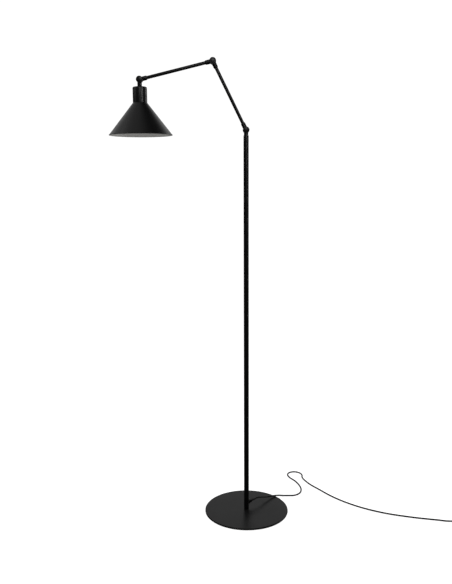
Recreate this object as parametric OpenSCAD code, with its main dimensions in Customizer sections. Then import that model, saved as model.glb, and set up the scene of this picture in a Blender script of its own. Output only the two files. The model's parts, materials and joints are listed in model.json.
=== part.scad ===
// Adjustable arm floor lamp. Millimetres, +Z up. The origin is on the floor,
// under the centre of the pole. The arm reaches towards -X.

/* [Base] */
// Diameter of the base plate
base_d = 270; // [220:1:340]
// Thickness of the base plate
base_t = 5; // [4:0.5:10]
// Thickness of the pad under the base plate
pad_t = 1; // [0.5:0.1:3]
// How far the pad stops short of the plate's edge
pad_inset = 5; // [2:0.5:20]

/* [Pole] */
// Outside diameter of the pole
pole_d = 16; // [13:0.5:22]
// Wall of the pole tube
pole_wall = 1.2; // [1:0.1:2]
// Length of the pole tube
pole_len = 1197.5; // [800:0.5:1500]
// Height of the shoulder's pin above the pole's top
neck_rise = 16.5; // [15:0.5:60]
// Length of the neck's spigot inside the pole
spigot_len = 30; // [20:1:60]

/* [Arm] */
// Outside diameter of the arm tubes
arm_d = 10; // [8:0.5:13]
// Wall of the arm tubes
arm_wall = 1; // [0.8:0.1:1.5]
// Lower arm, pin to pin
lower_len = 223; // [120:1:320]
// Lower arm's lean from the vertical, in degrees
lower_lean = 26.2; // [0:0.1:60]
// Upper arm, pin to pin
upper_len = 224; // [120:1:320]
// Upper arm's fall below the horizontal, in degrees
upper_fall = 13.4; // [-20:0.1:40]

/* [Knuckles] */
// Diameter of a knuckle's discs
disc_d = 20; // [18:0.5:28]
// Width of a knuckle over both discs
knuckle_w = 18.8; // [18:0.2:26]
// Wall of the stub around a tube
stub_wall = 1.75; // [1.5:0.05:3]
// Reach of a stub from the knuckle's pin
stub_reach = 23; // [21:0.5:35]
// Depth of a tube in its stub
tube_depth = 10; // [6:0.5:16]
// Turn of a knuckle to each side of straight, in degrees
knuckle_turn = 90; // [60:1:95]
// Turn of the neck in the pole to each side, in degrees
neck_turn = 160; // [90:1:160]

/* [Head] */
// Drop from the head's pin to the top of the socket cup
cup_drop = 21; // [18:0.5:30]
// Outside diameter of the socket cup
cup_d = 43; // [43:0.5:60]
// Height of the socket cup
cup_h = 46; // [46:0.5:70]
// Radius of the socket cup's upper edge
cup_edge = 4; // [1:0.5:8]
// Wall of the socket cup and the shade
sheet_t = 1.2; // [0.8:0.1:1.5]
// Diameter of the shade's rim
rim_d = 191; // [150:1:260]
// Height of the shade
shade_h = 95.5; // [70:0.5:160]
// Radius of the bead on the shade's rim
bead_r = 1.3; // [1:0.1:2.5]

/* [Lamp holder] */
// Inside diameter of the screw shell
shell_d = 26.6; // [26.4:0.1:27]
// Length of the screw shell
shell_len = 24; // [20:1:28]
// Outside diameter of the holder's threaded skirt
skirt_d = 35; // [34:0.5:36]
// Diameter of the shade ring's flange
ring_d = 45; // [42:0.5:48]
// Outside diameter of the threaded nipple
nipple_d = 10; // [8:0.5:10]

/* [Cord] */
// Diameter of the mains cord
cord_d = 5; // [5:0.1:5.5]
// Height of the cord grip's centre above the floor
grip_z = 28.5; // [26:0.5:80]
// Outside diameter of the cord grip
grip_d = 13; // [12:0.5:16]
// How far the cord grip stands out of the pole
grip_len = 12; // [10:0.5:20]
// Length of the strain relief
relief_len = 22; // [20:1:24]

/* [Foot switch] */
// Length of the switch case
switch_len = 78; // [70:1:78]
// Width of the switch case
switch_w = 34; // [32:0.5:36]
// Height of the switch case
switch_h = 18; // [18:0.5:24]
// Diameter of the button
button_d = 24; // [16:0.5:24]
// Travel of the button
button_travel = 3; // [1:0.5:3]

/* [Hidden] */

$fn = 48;
// Play of a running or sliding fit, on the radius
play = 0.05;
// Gap that keeps two pieces' faces apart
gap = 0.3;

// --- Base and pole ---
base_edge = 1.5;
screw_r = 4;
screw_head_r = 8;
foot_len = 15;
pole_z = pad_t + base_t;
pole_top = pole_z + pole_len;
pole_r = pole_d / 2;
pole_bore_r = pole_r - pole_wall;
grip_spigot_r = 4;

// --- Places of the three pins, and the way each member points, seen from the front ---
shoulder_z = pole_top + neck_rise;
shoulder = [0, 0, shoulder_z];
elbow = shoulder + lower_len * [-sin(lower_lean), 0, cos(lower_lean)];
head = elbow + upper_len * [-cos(upper_fall), 0, -sin(upper_fall)];
down = 270;
lower_dir = 90 + lower_lean;
upper_dir = 180 + upper_fall;

// --- Knuckle, on its own pin: the pin lies along Y and the stub points along +X ---
disc_r = disc_d / 2;
arm_r = arm_d / 2;
arm_bore_r = arm_r - arm_wall;
stub_r = arm_r + stub_wall;
face_y = 0.2;
floor_y = 3.7;
cap_t = 1.2;
cap_crown = 0.8;
rim_y = knuckle_w / 2;
cap_y = rim_y - cap_t;
disc_bevel = 0.8;
hollow_r = disc_r - 2.2;
cap_r = disc_r - 1.3;
stub_start = disc_r + 0.5;
stub_bevel = 2.5;
tube_seat = stub_reach - tube_depth;
axle_r = 4;
axle_bore_r = 2.8;
axle_head_r = 5.5;
axle_head_t = 1.4;
washer_t = 0.8;
nut_t = 1.7;
nut_r = 5.6;
lug_r = 1;
lug_len = 1.5;
lug_at = disc_r - 2.8;
groove_depth = 1.9;
// A knuckle's wire passage runs from the stub's middle out to the hollow in the disc
passage_r = 2.2;
passage_from = [tube_seat + 1.5, 1.6];
passage_to = [6, 5.4];
tube_screw_x = tube_seat + tube_depth / 2;
tube_screw_r = 1.5;

// --- Neck ---
spigot_r = pole_bore_r - play;
neck_bore_r = 4;
neck_groove_depth = 1;
neck_groove_w = 2.6;
neck_screw_r = 1.5;
neck_tip_r = 1;
neck_screw_z = pole_top - spigot_len / 2;

// --- Wires ---
wire_r = 0.8;
wire_apart = 0.95;
wire_step = 14;

// --- Head, downwards from its pin ---
cup_bottom = cup_drop + cup_h;
cup_r = cup_d / 2;
rim_r = rim_d / 2;
shade_lean = atan((rim_r - bead_r - cup_r) / (shade_h - bead_r));
shade_wall_r = sheet_t / cos(shade_lean);
skirt_r = skirt_d / 2;
shell_r = shell_d / 2;
shell_t = 0.6;
nipple_r = nipple_d / 2;
nipple_bore_r = nipple_r - 1.5;
nipple_top = 13;
nut_drop = cup_drop + sheet_t;
nipple_nut_t = 3;
nipple_nut_r = 8;
holder_top = nut_drop + nipple_nut_t + gap;
nipple_end = holder_top + 4;
holder_cap_r = 17;
holder_cap_t = 2.5;
holder_split = holder_top + 16;
holder_flange_r = cup_r - sheet_t - gap;
holder_flange_t = 2.5;
holder_end = cup_bottom + 15;
shell_top = holder_end - 2 - shell_len;
// The recess goes on above the screw shell, and the centre contact's head is in it there
recess_top = shell_top - 2;
ring_top_r = cup_r - 1.4;
ring_top_t = 4;
ring_t = 3.5;

// --- Cord ---
// Direction in which the cord leaves, in degrees from +X towards +Y
grip_turn = 42;
cord_r = cord_d / 2;
cord_sides = 10;
cord_step = 15;
cord_hole_r = cord_r + play;
grip_r = grip_d / 2;
grip_end = pole_r + grip_len;
relief_end = grip_end + relief_len;
relief_root_r = 4.4;
relief_tip_r = 3.2;
grip_screw_at = pole_r + 6.5;
grip_screw_r = 1.5;
grip_screw_head_r = 3.2;
grip_screw_head_t = 2.5;
// Where the lead's own route starts, outside the pole's wall
lead_start = 8.5;
// How strongly a route keeps its direction at each point, which rounds its tight turns
route_pull = 1.08;
// The lead's way over the base, in a narrow loop over the floor, and on to the foot switch
LEAD = [[6.3, 5.7, 28.5], [24, 21.6, 28.5], [33, 29.7, 28.4], [48, 43, 25], [64, 57, 18.6],
    [82, 73, 12.6], [99, 86, 9], [113, 94, 6], [127, 98, 3.3], [146, 99, 2.6],
    [168, 101, 2.5], [187, 117, 2.5], [195, 142, 2.5], [193, 176, 2.5], [181, 214, 2.5],
    [163, 248, 2.5], [159, 267, 2.5], [166, 285, 2.5], [184, 293, 2.5], [202, 286, 2.5],
    [211, 268, 2.5], [210, 246, 2.5], [222, 206, 2.5], [262, 139, 2.5], [296, 89, 2.5],
    [348, 34, 2.5], [430, -22, 2.5], [530, -60, 2.5], [606, -79, 2.6], [636, -87, 3],
    [656, -90, 4.7], [671, -90, 6], [684, -90, 6]];
// From the foot switch round to the coil
LINK = [[760, -90, 6], [774, -90, 6], [789, -86.5, 4.6], [801, -73, 3.3], [805, -50, 3.3],
    [805, -20, 3.3]];
// From the top of the coil down to the plug
TAIL = [[802.5, -20, 7.7], [802.5, -8, 8.3], [802, 6, 6.8], [800, 24, 3.6], [797, 44, 3.2],
    [794, 64, 5.6], [792, 80, 6.8], [792, 98, 6.8]];

// --- Coil: three turns side by side, and two on them ---
coil_at = [772.5, -20];
coil_r = 27.5;
coil_z = 0.8;
coil_row = cord_d * sqrt(3) / 2;
coil_h = cord_d + coil_row;
tie_t = 0.8;
tie_arc = 14;
tie_turn = 200;

// --- Foot switch ---
switch_at = [722, -90];
switch_cord_z = 6;
switch_wall = 2;
switch_split = 9;
switch_corner = 8;
nose_len = 12;
nose_root_r = 5;
nose_tip_r = 3.6;
button_r = button_d / 2;
button_flange = 1.5;
button_flange_t = 2;
button_top = switch_h + button_travel + 0.5;
button_z = switch_h - switch_wall - play - button_flange_t;
spring_r = 4;
spring_wire_r = 0.4;
spring_turns = 5;

// --- Plug, two round pins, lying flat ---
plug_at = [792, 98, 6.8];
plug_len = 36;
plug_w = 26;
plug_back_w = 14;
plug_t = 13.6;
plug_relief = 20;
pin_r = 2;
pin_len = 19;
pin_apart = 18.6;

LACQUER = [0.07, 0.07, 0.075];
PLATE = [0.17, 0.17, 0.175];
STEEL = [0.6, 0.6, 0.62];
BRASS = [0.78, 0.62, 0.32];
PLASTIC = [0.1, 0.1, 0.1];
CERAMIC = [0.86, 0.85, 0.82];

// ===== Helpers =====

// Puts children on a pin, with their +X along a member that points dir degrees from +X
module at_pin(pin, dir) translate(pin) rotate([0, -dir, 0]) children();

// A cylinder along Y, from y0 to y1
module across(y0, y1, r, r2 = undef)
    translate([0, y0, 0]) rotate([-90, 0, 0])
        cylinder(r1 = r, r2 = is_undef(r2) ? r : r2, h = y1 - y0);

// A cylinder along X, from x0 to x1
module along(x0, x1, r, r2 = undef)
    translate([x0, 0, 0]) rotate([0, 90, 0])
        cylinder(r1 = r, r2 = is_undef(r2) ? r : r2, h = x1 - x0);

// A ring about Z, from z0 to z1
module ring(z0, z1, r_in, r_out) difference() {
    translate([0, 0, z0]) cylinder(r = r_out, h = z1 - z0);
    translate([0, 0, z0 - 1]) cylinder(r = r_in, h = z1 - z0 + 2);
}

module rounded_rect(x, y, r) {
    square([x, y - 2 * r], center = true);
    square([x - 2 * r, y], center = true);
    for (sx = [-1, 1], sy = [-1, 1])
        translate([sx * (x / 2 - r), sy * (y / 2 - r)]) circle(r = r);
}

// Points along a route: each stretch is a cubic whose ends take their direction from the
// neighbouring points, the nearer point counting for more
function span(p, i) = norm(p[i + 1] - p[i]);
function heading(p, i) = let (n = len(p) - 1)
    i == 0 ? unit(p[1] - p[0]) :
    i == n ? unit(p[n] - p[n - 1]) :
    let (a = span(p, i - 1), b = span(p, i))
        route_pull * unit((p[i + 1] - p[i]) * a / b + (p[i] - p[i - 1]) * b / a);
function on_stretch(p, i, t) = let (d = span(p, i), s = t * t, c = s * t)
    p[i] * (2 * c - 3 * s + 1) + heading(p, i) * d * (c - 2 * s + t)
    + p[i + 1] * (3 * s - 2 * c) + heading(p, i + 1) * d * (c - s);
function route(p, step) = [
    for (i = [0:len(p) - 2]) let (n = ceil(span(p, i) / step))
        for (k = [0:n - 1]) on_stretch(p, i, k / n),
    p[len(p) - 1]];
function unit(v) = v / norm(v);

// A tube swept along points, with flat ends; side is never parallel to the route
module sweep(p, r, sides, side) {
    n = len(p);
    rings = [for (i = [0:n - 1])
        let (t = unit(p[min(i + 1, n - 1)] - p[max(i - 1, 0)]), u = unit(cross(side, t)),
            v = cross(t, u))
        for (k = [0:sides - 1]) p[i] + r * (cos(360 * k / sides) * u + sin(360 * k / sides) * v)];
    walls = [for (i = [0:n - 2], k = [0:sides - 1]) let (a = i * sides + k,
        b = i * sides + (k + 1) % sides) each [[a, a + sides, b + sides], [a, b + sides, b]]];
    polyhedron(rings, concat([[for (k = [0:sides - 1]) k]], walls,
        [[for (k = [sides - 1:-1:0]) (n - 1) * sides + k]]));
}

module cord(points) color(PLASTIC) sweep(route(points, cord_step), cord_r, cord_sides, [0, 0, 1]);

// ===== Base and pole =====

module base_pad() color([0.13, 0.13, 0.13]) cylinder(r = base_d / 2 - pad_inset, h = pad_t, $fn = 96);

module base_plate() color(PLATE) difference() {
    translate([0, 0, pad_t]) rotate_extrude($fn = 96) {
        square([base_d / 2 - base_edge, base_t]);
        square([base_d / 2, base_t - base_edge]);
        translate([base_d / 2 - base_edge, base_t - base_edge]) circle(r = base_edge);
    }
    translate([0, 0, pad_t - 1]) cylinder(r = screw_r + play, h = base_t + 2);
    translate([0, 0, pad_t]) cylinder(r1 = screw_head_r, r2 = screw_r, h = screw_head_r - screw_r);
}

// Countersunk screw up into the pole's foot, with a hexagon socket
module base_screw() color(STEEL) difference() {
    union() {
        translate([0, 0, pad_t])
            cylinder(r1 = screw_head_r - play, r2 = screw_r, h = screw_head_r - screw_r);
        translate([0, 0, pad_t]) cylinder(r = screw_r, h = base_t + foot_len - 3);
    }
    translate([0, 0, pad_t - 1]) cylinder(r = 2.9, h = 4, $fn = 6);
}

module pole_foot() color(STEEL) ring(pole_z, pole_z + foot_len, screw_r + play, pole_bore_r - play);

module pole() color(LACQUER) difference() {
    ring(pole_z, pole_top, pole_bore_r, pole_r);
    rotate([0, 0, grip_turn]) translate([0, 0, grip_z]) along(0, pole_d, grip_spigot_r + play);
    translate([0, 0, neck_screw_z]) across(0, pole_d, neck_screw_r + play);
}

// Grub screw whose tip runs in the neck's groove and holds the neck down
module pole_screw() color(STEEL) translate([0, 0, neck_screw_z]) difference() {
    union() {
        across(pole_bore_r, pole_r - 0.1, neck_screw_r);
        across(spigot_r - neck_groove_depth + gap, pole_bore_r, neck_tip_r);
    }
    across(pole_r - 0.8, pole_r, 0.8, $fn = 6);
}

// The lead inside the pole, from the grip's spigot up to the neck
module pole_cable() {
    riser = [[lead_start, grip_z], [5.5, grip_z], [2.4, grip_z + 1.2], [0.6, grip_z + 5],
        [0, grip_z + 11], [0, grip_z + 60], [0, pole_top - spigot_len - gap]];
    out = [cos(grip_turn), sin(grip_turn), 0];
    color(PLASTIC) sweep(route([for (p = riser) p[0] * out + [0, 0, p[1]]], 250), cord_r,
        cord_sides, [-out[1], out[0], 0]);
}

// ===== Cord grip and cord =====

module at_grip() rotate([0, 0, grip_turn]) translate([0, 0, grip_z]) children();

module cord_grip() color(LACQUER) difference() {
    union() {
        at_grip() along(pole_bore_r - 1.2, pole_r + 2, grip_spigot_r);
        difference() {
            at_grip() {
                along(0, grip_end - 1, grip_r);
                along(grip_end - 1, grip_end, grip_r, grip_r - 1);
            }
            cylinder(r = pole_r, h = grip_z * 2);
        }
    }
    at_grip() along(0, grip_end + 1, cord_hole_r);
    at_grip() translate([grip_screw_at, 0, -grip_d]) cylinder(r = grip_screw_r + play, h = grip_d);
}

module grip_screw() color(STEEL) at_grip() difference() {
    translate([grip_screw_at, 0, 0]) {
        translate([0, 0, -grip_r - 1]) cylinder(r = grip_screw_r, h = grip_r + 1 - cord_hole_r);
        translate([0, 0, -grip_r - grip_screw_head_t])
            cylinder(r = grip_screw_head_r, h = grip_screw_head_t);
    }
    translate([grip_screw_at, 0, -grip_r - grip_screw_head_t])
        cube([2 * grip_screw_head_r + 1, 0.8, 2], center = true);
}

module strain_relief() color(PLASTIC) at_grip() difference() {
    along(grip_end, relief_end, relief_root_r, relief_tip_r);
    along(grip_end - 1, relief_end + 1, cord_hole_r);
}

module cord_lead() cord(LEAD);
module cord_link() cord(LINK);
module cord_tail() cord(TAIL);

// Outline of the coil's section, grown by g, about the middle of its turns
function coil_outline(g) = let (a = 1.5 * cord_d + g, b = cord_d + g)
    [[-a, -g], [a, -g], [a, cord_r + 0.6], [b, coil_h + g], [-b, coil_h + g], [-a, cord_r + 0.6]];

module cord_coil() color(PLASTIC) translate([coil_at[0], coil_at[1], coil_z])
    rotate_extrude($fn = 96) translate([coil_r, 0]) polygon(coil_outline(0));

module coil_tie() color([0.2, 0.2, 0.2])
    translate([coil_at[0], coil_at[1], coil_z]) rotate([0, 0, tie_turn])
        rotate_extrude(angle = tie_arc, $fn = 96) translate([coil_r, 0]) difference() {
            polygon(coil_outline(tie_t));
            polygon(coil_outline(0));
        }

// ===== Foot switch =====

module at_switch() translate([switch_at[0], switch_at[1], 0]) children();

module switch_base() color(PLASTIC) at_switch() difference() {
    union() {
        linear_extrude(switch_split) rounded_rect(switch_len, switch_w, switch_corner);
        for (s = [0, 180]) rotate([0, 0, s]) translate([0, 0, switch_cord_z])
            along(switch_len / 2, switch_len / 2 + nose_len, nose_root_r, nose_tip_r);
    }
    translate([0, 0, switch_wall]) linear_extrude(switch_split)
        rounded_rect(switch_len - 2 * switch_wall, switch_w - 2 * switch_wall,
            switch_corner - switch_wall);
    translate([0, 0, switch_cord_z]) along(-switch_len, switch_len, cord_hole_r);
}

module switch_cover() color(PLASTIC) at_switch() difference() {
    union() {
        translate([0, 0, switch_split]) linear_extrude(switch_h - switch_split - 1.5)
            rounded_rect(switch_len, switch_w, switch_corner);
        translate([0, 0, switch_split]) linear_extrude(switch_h - switch_split)
            rounded_rect(switch_len - 3, switch_w - 3, switch_corner - 1.5);
    }
    translate([0, 0, switch_split - 1]) linear_extrude(switch_h - switch_split - switch_wall + 1)
        rounded_rect(switch_len - 2 * switch_wall, switch_w - 2 * switch_wall,
            switch_corner - switch_wall);
    cylinder(r = button_r + gap, h = switch_h + 1);
}

// Push button, kept in by a flange under the cover and hollow for its spring
module switch_button() color(LACQUER) at_switch() difference() {
    union() {
        translate([0, 0, button_z]) cylinder(r = button_r + button_flange, h = button_flange_t);
        translate([0, 0, button_z]) cylinder(r = button_r, h = button_top - button_z - 1);
        translate([0, 0, button_top - 1]) cylinder(r1 = button_r, r2 = button_r - 1.5, h = 1);
    }
    translate([0, 0, button_z - 1]) cylinder(r = spring_r + 1.5, h = 4);
}

module switch_spring() color(STEEL) at_switch() {
    bottom = switch_wall + spring_wire_r;
    rise = button_z + 3 - spring_wire_r - bottom;
    steps = spring_turns * 12;
    sweep([for (k = [0:steps]) let (a = 360 * spring_turns * k / steps)
        [spring_r * cos(a), spring_r * sin(a), bottom + rise * k / steps]],
        spring_wire_r, 6, [0, 0, 1]);
}

// ===== Plug =====

module plug_body() color(PLASTIC) difference() {
    union() {
        translate([plug_at[0], plug_at[1], 0]) linear_extrude(plug_t) polygon([
            [-plug_back_w / 2, 0], [plug_back_w / 2, 0], [plug_w / 2, plug_len * 0.6],
            [plug_w / 2, plug_len], [-plug_w / 2, plug_len], [-plug_w / 2, plug_len * 0.6]]);
        translate(plug_at) across(-plug_relief, 1, relief_tip_r, relief_root_r + 1);
    }
    translate(plug_at) across(-plug_relief - 1, 0, cord_hole_r);
}

module plug_pins() color(BRASS) translate(plug_at) for (s = [-1, 1])
    translate([s * pin_apart / 2, 0, 0]) {
        across(plug_len, plug_len + pin_len - pin_r, pin_r);
        translate([0, plug_len + pin_len - pin_r, 0]) sphere(r = pin_r, $fn = 24);
    }

// ===== Knuckle pieces =====

// One half of a knuckle, with its disc on the +Y side. far is the stub's end, and bore_r
// and seat are the radius and the inner end of the hole in the stub
module half(far, bore_r, seat, bevel = stub_bevel) {
    lean = atan2(passage_to[1] - passage_from[1], passage_to[0] - passage_from[0]);
    difference() {
        union() {
            across(face_y, rim_y - disc_bevel, disc_r);
            across(rim_y - disc_bevel, rim_y, disc_r, disc_r - disc_bevel);
            along(stub_start, far - bevel, stub_r);
            along(far - bevel, far, stub_r, stub_r - bevel / 2);
            intersection() {
                along(0, stub_start, stub_r);
                translate([0, face_y, -stub_r]) cube([stub_start, stub_r, 2 * stub_r]);
            }
        }
        across(floor_y, rim_y + 1, hollow_r);
        across(cap_y, rim_y + 1, cap_r + play);
        along(seat, far + 1, bore_r);
        translate([passage_from[0], passage_from[1], 0]) rotate([0, 0, lean])
            along(0, norm(passage_to - passage_from), passage_r);
        across(0, floor_y + 1, axle_r + play);
    }
}

// The groove for the turning half's lug: round ends, and a lug's play past each limit
module lug_groove() {
    w = 2 * (lug_r + 0.25);
    translate([0, face_y - 1, 0]) rotate([-90, 0, 0]) rotate([0, 0, 180 - knuckle_turn])
        rotate_extrude(angle = 2 * knuckle_turn) translate([lug_at - w / 2, 0])
            square([w, groove_depth + 1]);
    for (s = [-1, 1]) rotate([0, 180 + s * knuckle_turn, 0]) translate([lug_at, 0, 0])
        across(face_y - 1, face_y + groove_depth, w / 2);
}

module fixed_half(far, bore_r, seat, bevel = stub_bevel) color(LACQUER) difference() {
    half(far, bore_r, seat, bevel);
    lug_groove();
}

module turning_half(far, bore_r, seat) color(LACQUER) mirror([0, 1, 0]) {
    half(far, bore_r, seat);
    translate([lug_at, 0, 0]) across(face_y - lug_len, face_y + 1, lug_r);
}

// A grub screw's hole through the back of a stub
module tube_screw_hole() translate([tube_screw_x, 0, 0]) across(0, stub_r + 1, tube_screw_r);

// The hollow axle: its head sits in the fixed half, and its other end carries the nut
module axle() color(STEEL) difference() {
    union() {
        across(-floor_y - washer_t - nut_t - 0.2, floor_y, axle_r);
        across(floor_y, floor_y + axle_head_t, axle_head_r);
    }
    across(-rim_y, rim_y, axle_bore_r);
}

// The friction washer between the discs, and the spring washer under the nut
module washers() color(BRASS) {
    difference() {
        across(-face_y + play, face_y, axle_head_r);
        across(-1, 1, axle_r + play);
    }
    difference() {
        across(-floor_y - washer_t - 0.1, -floor_y - 0.1, axle_head_r);
        across(-rim_y, 0, axle_r + play);
    }
}

module nut() color(STEEL) difference() {
    across(-floor_y - washer_t - nut_t - 0.1, -floor_y - washer_t - 0.1, nut_r, $fn = 6);
    across(-rim_y, 0, axle_r + play);
}

// A domed cap that closes the hollow of the half on the +Y side
module cap() color(LACQUER) rotate([-90, 0, 0]) rotate_extrude() {
    dome_r = (cap_r * cap_r + cap_crown * cap_crown) / (2 * cap_crown);
    translate([0, cap_y]) intersection() {
        square([cap_r, cap_t + cap_crown]);
        translate([0, cap_t + cap_crown - dome_r]) circle(r = dome_r, $fn = 720);
    }
}

// ===== Wires =====

// The way of a pair of wires from a knuckle's pin out to the middle of a tube, at side s
function wire_end(s) = [[0, s * 0.05], [0, s * 5], [1, s * 7.1], [3, s * 7.6], [5.6, s * 7.2],
    [7.8, s * 5.1], [10.2, s * 3.5], [passage_from[0] - 0.5, s * 1.8], [tube_seat + 7, s * 0.2],
    [tube_seat + 13, 0]];

module wires(points) color([0.75, 0.75, 0.72]) for (s = [-1, 1])
    sweep([for (p = route(points, wire_step)) [p[0], p[1], s * wire_apart]], wire_r, 6, [0, 0, 1]);

module arm_wires(length) {
    far_end = wire_end(1);
    wires(concat(wire_end(-1), [for (i = [len(far_end) - 1:-1:0])
        [length - far_end[i][0], far_end[i][1]]]));
}

// ===== Arm members, each along +X from its own pin =====

module arm_tube(length) color(LACQUER) difference() {
    along(tube_seat, length - tube_seat, arm_r);
    along(0, length, arm_bore_r);
}

module tube_screws(length) color(STEEL) for (x = [tube_screw_x, length - tube_screw_x])
    translate([x, 0, 0]) difference() {
        across(arm_r + play, stub_r - 0.05, tube_screw_r - play);
        across(stub_r - 0.7, stub_r, 0.7, $fn = 6);
    }

module near_half(pin, dir) at_pin(pin, dir) difference() {
    turning_half(stub_reach, arm_r + play, tube_seat);
    color(LACQUER) tube_screw_hole();
}

module far_half(pin, dir) at_pin(pin, dir + 180) difference() {
    fixed_half(stub_reach, arm_r + play, tube_seat);
    color(LACQUER) tube_screw_hole();
}

// ===== Neck and shoulder =====

// The neck carries the shoulder's fixed half, and its spigot turns in the pole
module shoulder_fixed_half() at_pin(shoulder, down) color(LACQUER) difference() {
    union() {
        fixed_half(neck_rise - gap, neck_bore_r, tube_seat, bevel = 0.5);
        difference() {
            along(neck_rise - gap - 0.5, neck_rise + spigot_len, spigot_r);
            along(0, neck_rise + spigot_len + 1, neck_bore_r);
        }
    }
    // Ring groove for the tip of the pole's grub screw, left solid behind the stop
    translate([shoulder_z - neck_screw_z, 0, 0]) rotate([0, 90, 0])
        rotate([0, 0, 90 - neck_turn - 12]) rotate_extrude(angle = 2 * neck_turn + 24)
            translate([spigot_r - neck_groove_depth, -neck_groove_w / 2])
                square([neck_groove_depth + 1, neck_groove_w]);
}

module shoulder_axle() at_pin(shoulder, down) axle();
module shoulder_washers() at_pin(shoulder, down) washers();
module shoulder_nut() at_pin(shoulder, down) nut();
module shoulder_back_cap() at_pin(shoulder, down) cap();
module neck_wires() at_pin(shoulder, down)
    wires(concat(wire_end(1), [[neck_rise + spigot_len, 0]]));

// ===== Lower arm and elbow =====

module shoulder_turning_half() near_half(shoulder, lower_dir);
module shoulder_front_cap() at_pin(shoulder, lower_dir) mirror([0, 1, 0]) cap();
module lower_arm_tube() at_pin(shoulder, lower_dir) arm_tube(lower_len);
module lower_arm_screws() at_pin(shoulder, lower_dir) tube_screws(lower_len);
module lower_arm_wires() at_pin(shoulder, lower_dir) arm_wires(lower_len);
module elbow_fixed_half() far_half(elbow, lower_dir);
module elbow_axle() at_pin(elbow, lower_dir) axle();
module elbow_washers() at_pin(elbow, lower_dir) washers();
module elbow_nut() at_pin(elbow, lower_dir) nut();
module elbow_back_cap() at_pin(elbow, lower_dir) cap();

// ===== Upper arm and head knuckle =====

module elbow_turning_half() near_half(elbow, upper_dir);
module elbow_front_cap() at_pin(elbow, upper_dir) mirror([0, 1, 0]) cap();
module upper_arm_tube() at_pin(elbow, upper_dir) arm_tube(upper_len);
module upper_arm_screws() at_pin(elbow, upper_dir) tube_screws(upper_len);
module upper_arm_wires() at_pin(elbow, upper_dir) arm_wires(upper_len);
module head_fixed_half() far_half(head, upper_dir);
module head_axle() at_pin(head, upper_dir) axle();
module head_washers() at_pin(head, upper_dir) washers();
module head_nut() at_pin(head, upper_dir) nut();
module head_back_cap() at_pin(head, upper_dir) cap();

// ===== Head =====

module at_head() translate(head) children();

// A ring about the head's own axis, from drop0 down to drop1
module head_ring(drop0, drop1, r_in, r_out) at_head() ring(-drop1, -drop0, r_in, r_out);

module head_turning_half() at_pin(head, down) turning_half(cup_drop, nipple_r + play, nipple_top);
module head_front_cap() at_pin(head, down) mirror([0, 1, 0]) cap();
module head_wires() at_pin(head, down) wires(concat(wire_end(-1), [[nipple_end + 3, 0]]));
module nipple() color(STEEL) head_ring(nipple_top, nipple_end, nipple_bore_r, nipple_r);
module nipple_nut() color(STEEL) at_head() translate([0, 0, -nut_drop - nipple_nut_t])
    difference() {
        cylinder(r = nipple_nut_r, h = nipple_nut_t, $fn = 6);
        translate([0, 0, -1]) cylinder(r = nipple_r + play, h = nipple_nut_t + 2);
    }

module socket_cup() color(LACQUER) at_head() translate([0, 0, -cup_bottom]) rotate_extrude($fn = 96) {
    difference() {
        cup_section(cup_r, cup_h, cup_edge);
        translate([-1, -1]) square([1 + nipple_r + play, cup_h + 2]);
        translate([0, -1])
            cup_section(cup_r - sheet_t, cup_h - sheet_t + 1, max(cup_edge - sheet_t, 0.5));
    }
}

// Half the section of a round cup, open at the bottom, with its upper edge rounded
module cup_section(r, h, edge) {
    square([r, h - edge]);
    square([r - edge, h]);
    translate([r - edge, h - edge]) circle(r = edge);
}

// The shade's wall runs from the cup's edge into the bead, and its top flange holds the ring
module shade() color(LACQUER) at_head() translate([0, 0, -cup_bottom]) rotate_extrude($fn = 96) {
    bead = [rim_r - bead_r, bead_r - shade_h];
    wall_end = bead + 0.4 * [sin(shade_lean), -cos(shade_lean)];
    half_wall = [shade_wall_r / 2, 0];
    polygon([[skirt_r + play, 0], [cup_r, 0], wall_end + half_wall, wall_end - half_wall,
        [cup_r - shade_wall_r + tan(shade_lean) * sheet_t, -sheet_t],
        [skirt_r + play, -sheet_t]]);
    translate(bead) circle(r = bead_r);
}

module shade_ring() color(PLASTIC) difference() {
    union() {
        head_ring(cup_bottom + sheet_t, cup_bottom + sheet_t + ring_top_t, skirt_r, ring_top_r);
        head_ring(cup_bottom + sheet_t + ring_top_t, cup_bottom + sheet_t + ring_top_t + ring_t,
            skirt_r, ring_d / 2);
    }
    head_ring(cup_bottom, cup_bottom + 2 * shade_h, 0, skirt_r + play);
}

module holder_cap() color(CERAMIC) difference() {
    head_ring(holder_top, holder_split, nipple_r + play, holder_cap_r);
    head_ring(holder_top + holder_cap_t, holder_split + 1, 0.1, holder_cap_r - 2);
}

// The holder's body: a top wall, a shoulder that rests on the shade and a skirt for the ring
module holder_body() color(CERAMIC) difference() {
    union() {
        head_ring(holder_split, cup_bottom, 0.1, holder_cap_r + 1);
        head_ring(cup_bottom - holder_flange_t, cup_bottom, 0.1, holder_flange_r);
        head_ring(cup_bottom - 1, holder_end, 0.1, skirt_r);
    }
    head_ring(recess_top, holder_end + 1, 0, shell_r + shell_t);
    head_ring(holder_split - 1, holder_end, 0, 3);
}

module screw_shell() color(BRASS) head_ring(shell_top, shell_top + shell_len, shell_r, shell_r + shell_t);

// The centre contact: a stud through the holder's top wall with a round head
module centre_contact() color(BRASS) at_head() {
    translate([0, 0, -recess_top]) cylinder(r = 3 - play, h = recess_top - holder_split + 1);
    translate([0, 0, -recess_top - 1.5]) cylinder(r = 4.5, h = 1.5);
}

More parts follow.
